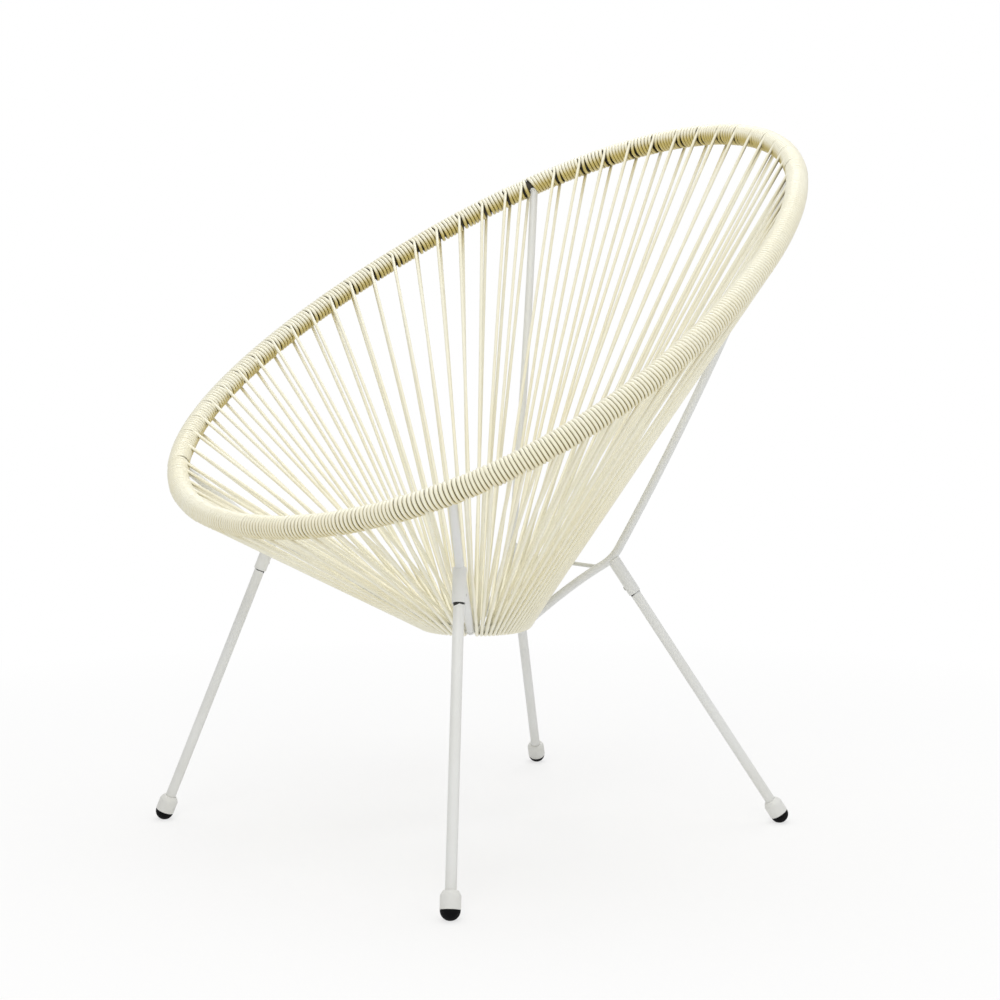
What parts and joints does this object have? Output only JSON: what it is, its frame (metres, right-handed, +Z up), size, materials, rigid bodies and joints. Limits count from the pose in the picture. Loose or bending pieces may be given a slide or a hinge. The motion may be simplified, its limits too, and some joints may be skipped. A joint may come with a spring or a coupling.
{
  "type": "acapulco chair",
  "caption": "Low outdoor lounge chair: a bowl seat of cord laced between a tilted egg-shaped hoop and a small ring, on splayed legs with rubber glides.",
  "frame": {"origin": "on the floor under the middle of the chair's outer box", "axes": "+Z up, -Y towards the sitter's feet, +X to the sitter's left"},
  "size_m": [0.7597, 0.73, 0.8471],
  "materials": {
    "cord": "glossy cream cord",
    "paint": "satin white powder coat",
    "steel": "plain steel",
    "rubber": "matt black rubber"
  },
  "bodies": {
    "root": {"upper_hoop": "paint", "lower_ring": "paint", "stay_back_left": "paint", "socket_back_left": "paint", "set_screw_back_left": "steel", "leg_back_left": "paint", "foot_cup_back_left": "paint", "glide_back_left": "rubber", "stay_front_left": "paint", "socket_front_left": "paint", "set_screw_front_left": "steel", "leg_front_left": "paint", "foot_cup_front_left": "paint", "glide_front_left": "rubber", "stay_front_right": "paint", "socket_front_right": "paint", "set_screw_front_right": "steel", "leg_front_right": "paint", "foot_cup_front_right": "paint", "glide_front_right": "rubber", "stay_back_right": "paint", "socket_back_right": "paint", "set_screw_back_right": "steel", "leg_back_right": "paint", "foot_cup_back_right": "paint", "glide_back_right": "rubber", "back_brace": "paint", "seat_cord_back_1": "cord", "seat_cord_back_2": "cord", "seat_cord_back_3": "cord", "seat_cord_left_1": "cord", "seat_cord_left_2": "cord", "seat_cord_left_3": "cord", "seat_cord_left_4": "cord", "seat_cord_front_1": "cord", "seat_cord_front_2": "cord", "seat_cord_front_3": "cord", "seat_cord_front_4": "cord", "seat_cord_right_1": "cord", "seat_cord_right_2": "cord", "seat_cord_right_3": "cord", "seat_cord_right_4": "cord"}
  },
  "joints": []
}
